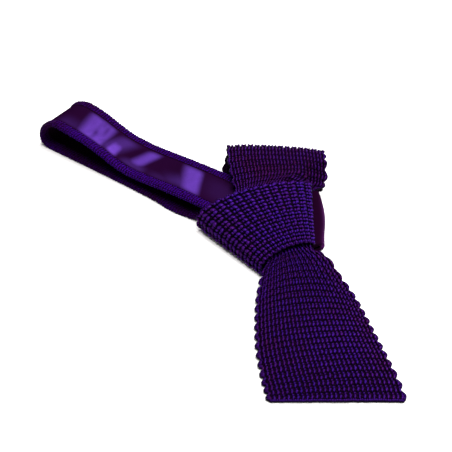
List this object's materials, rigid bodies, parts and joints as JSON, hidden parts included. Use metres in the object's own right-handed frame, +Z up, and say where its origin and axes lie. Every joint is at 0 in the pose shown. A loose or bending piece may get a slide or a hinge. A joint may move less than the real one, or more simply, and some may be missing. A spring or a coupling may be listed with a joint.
{
  "type": "knit tie",
  "caption": "Square ended knit tie with scalloped edges, tied in a flat cone shaped knot, its satin faced neck band laid back in a loop.",
  "frame": {"origin": "on the table, at the middle of the knot's flat underside", "axes": "+Z up from the table, the blade's free end toward -Y, the top crease toward +Y, the neck loop toward -X and +Y"},
  "size_m": [0.1794, 0.2134, 0.021],
  "materials": {
    "knit": "matt blue violet silk knit",
    "satin_turn": "soft violet satin on knit",
    "band_knit": "fine matt violet knit",
    "satin": "glossy lavender satin ribbon"
  },
  "bodies": {
    "root": {"front_blade": "knit", "knot_wrap": "knit", "inner_turn": "satin_turn", "neck_band": "band_knit", "satin_ribbon": "satin", "tail": "band_knit"}
  },
  "joints": []
}
